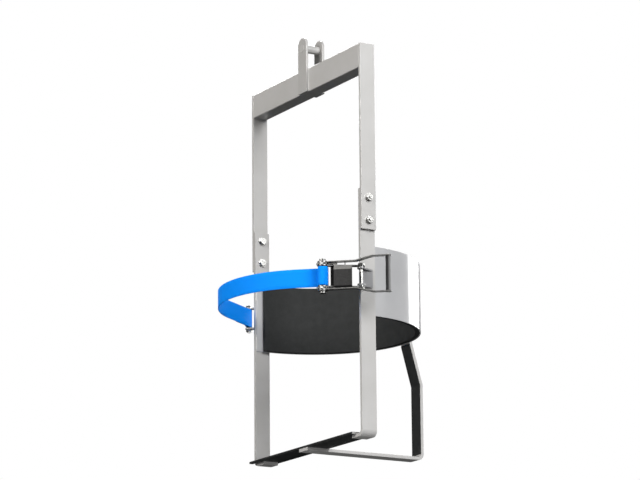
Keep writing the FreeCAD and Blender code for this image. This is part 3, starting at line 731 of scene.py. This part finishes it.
def make_rest_welds():
    """Beads from the back rest to the legs, and from the rest to the post."""
    sheet_size, sheet_margin = 0.0022, 0.006
    post_size, post_low_margin, post_high_margin = 0.0026, 0.012, 0.005
    sunk, short = 0.0006, 0.004
    low, high = rest_bottom + sheet_margin, rest_top - sheet_margin
    sheet_runs = runs_between(low, high, count=3, gap=0.028)
    low, high = rest_bottom + post_low_margin, post_top - post_high_margin
    post_runs = runs_between(low, high, count=3, gap=0.022)
    for side, side_name in sides:
        for y, label in ((rest_front, "front"), (half_bar, "back")):
            for part, (low, high) in enumerate(sheet_runs):
                name = f"rest_weld_{label}_{side_name}_{part}"
                into = (side, 0.4, 0)
                upright_bead(name, side * lower_inner, y, low, high, sheet_size, into)
        for part, (low, high) in enumerate(post_runs):
            name = f"post_weld_{side_name}_{part}"
            into = (-side, -0.6, 0)
            upright_bead(name, side * half_bar, rest_back - sunk, low, high, post_size, into)
    ends = [Vector((x, rest_back, post_top)) for x in (short - half_bar, half_bar - short)]
    bead("post_weld_top", ends, post_size, Vector((0, -0.5, -1)))


def make_anchor_welds():
    """Beads from the strap anchors to the legs."""
    size, short, sunk = 0.0016, 0.002, 0.0002
    for side, side_name in sides:
        node = "strap_anchor_" + side_name
        x = side * (upper_inner - sunk)
        low, high = limit(node, LOW, Z) + short, limit(node, HIGH, Z) - short
        for y, label in ((rest_front, "front"), (limit(node, HIGH, Y), "back")):
            name = f"anchor_weld_{label}_{side_name}"
            upright_bead(name, x, y, low, high, size, (-side, 0, 0))


dress_solids()
make_strap()
make_stitching()
make_roll()
make_springs()
make_beam_welds()
make_rest_welds()
make_anchor_welds()


# Stage, light and camera

def camera_sees(tree, shown, lit, output):
    """Output that the camera sees as one shader and every other ray as another."""
    path = tree.nodes.new("ShaderNodeLightPath")
    mix = tree.nodes.new("ShaderNodeMixShader")
    tree.links.new(path.outputs["Is Camera Ray"], mix.inputs[0])
    tree.links.new(lit.outputs[0], mix.inputs[1])
    tree.links.new(shown.outputs[0], mix.inputs[2])
    tree.links.new(mix.outputs[0], output.inputs["Surface"])


def make_stage():
    """Pale floor far below the hanging lifter."""
    reach, depth = 300.0, 7.0
    mesh = bpy.data.meshes.new("stage_floor")
    corners = [(-reach, -reach, 0), (reach, -reach, 0), (reach, reach, 0), (-reach, reach, 0)]
    mesh.from_pydata(corners, [], [(0, 1, 2, 3)])
    floor = bpy.data.objects.new("stage_floor", mesh)
    floor.location = (0, 0, -depth)
    bpy.context.scene.collection.objects.link(floor)
    material, tree, shader = new_material("stage_floor")
    shader.inputs["Base Color"].default_value = (0.05, 0.05, 0.05, 1)
    shader.inputs["Roughness"].default_value = 0.9
    glow = tree.nodes.new("ShaderNodeEmission")
    glow.inputs["Color"].default_value = (0.86, 0.86, 0.86, 1)
    camera_sees(tree, shown=glow, lit=shader, output=tree.nodes["Material Output"])
    mesh.materials.append(material)


def area_light(name, place, target, size, power, tint=(1.0, 1.0, 1.0)):
    """Soft light of (width, height) that faces its target and isn't seen itself."""
    data = bpy.data.lights.new(name, "AREA")
    data.color = tint
    data.shape = "RECTANGLE"
    data.size, data.size_y = size
    data.energy = power
    lamp = bpy.data.objects.new(name, data)
    bpy.context.scene.collection.objects.link(lamp)
    lamp.location = place
    lamp.visible_camera = False
    lamp.rotation_mode = "QUATERNION"
    lamp.rotation_quaternion = (Vector(target) - Vector(place)).to_track_quat("-Z", "Y")


def make_light():
    """White studio: a dim world that the camera sees as plain white, and six soft lights."""
    scene = bpy.context.scene
    scene.view_settings.view_transform = "Standard"
    world = bpy.data.worlds.new("studio")
    scene.world = world
    world.use_nodes = True
    tree = world.node_tree
    dim = tree.nodes["Background"]
    dim.inputs["Color"].default_value = (1, 1, 1, 1)
    dim.inputs["Strength"].default_value = 0.06
    white = tree.nodes.new("ShaderNodeBackground")
    white.inputs["Color"].default_value = (1, 1, 1, 1)
    white.inputs["Strength"].default_value = 1.0
    camera_sees(tree, shown=white, lit=dim, output=tree.nodes["World Output"])
    centre = (0, 0, 0.65)
    warm = (1.0, 0.976, 0.945)
    area_light("key", (5.0, 0.65, 2.9), centre, size=(2.6, 2.6), power=380)
    area_light("fill", (0.8, -4.9, 2.9), centre, size=(3.0, 3.0), power=335, tint=warm)
    area_light("back", (-1.44, 5.0, 1.7), centre, size=(3.05, 2.2), power=132)
    area_light("side", (4.3, 2.9, 1.9), centre, size=(2.6, 2.6), power=14)
    area_light("rear", (-4.2, 1.8, 3.6), centre, size=(2.6, 2.6), power=190)
    area_light("bounce", (0.4, -0.3, -0.7), (0, 0, 0), size=(1.4, 1.4), power=7)


def make_camera():
    """Long lens from the right and a little to the front, below the lifter's feet."""
    data = bpy.data.cameras.new("camera")
    data.sensor_width = 36.0
    data.lens = 174.0
    data.clip_end = 1000.0
    camera = bpy.data.objects.new("camera", data)
    bpy.context.scene.collection.objects.link(camera)
    camera.location = (8.0277, -4.6792, -1.5568)
    camera.rotation_euler = [math.radians(degrees) for degrees in (103.4341, 0.4458, 59.7266)]
    bpy.context.scene.camera = camera


make_stage()
make_light()
make_camera()
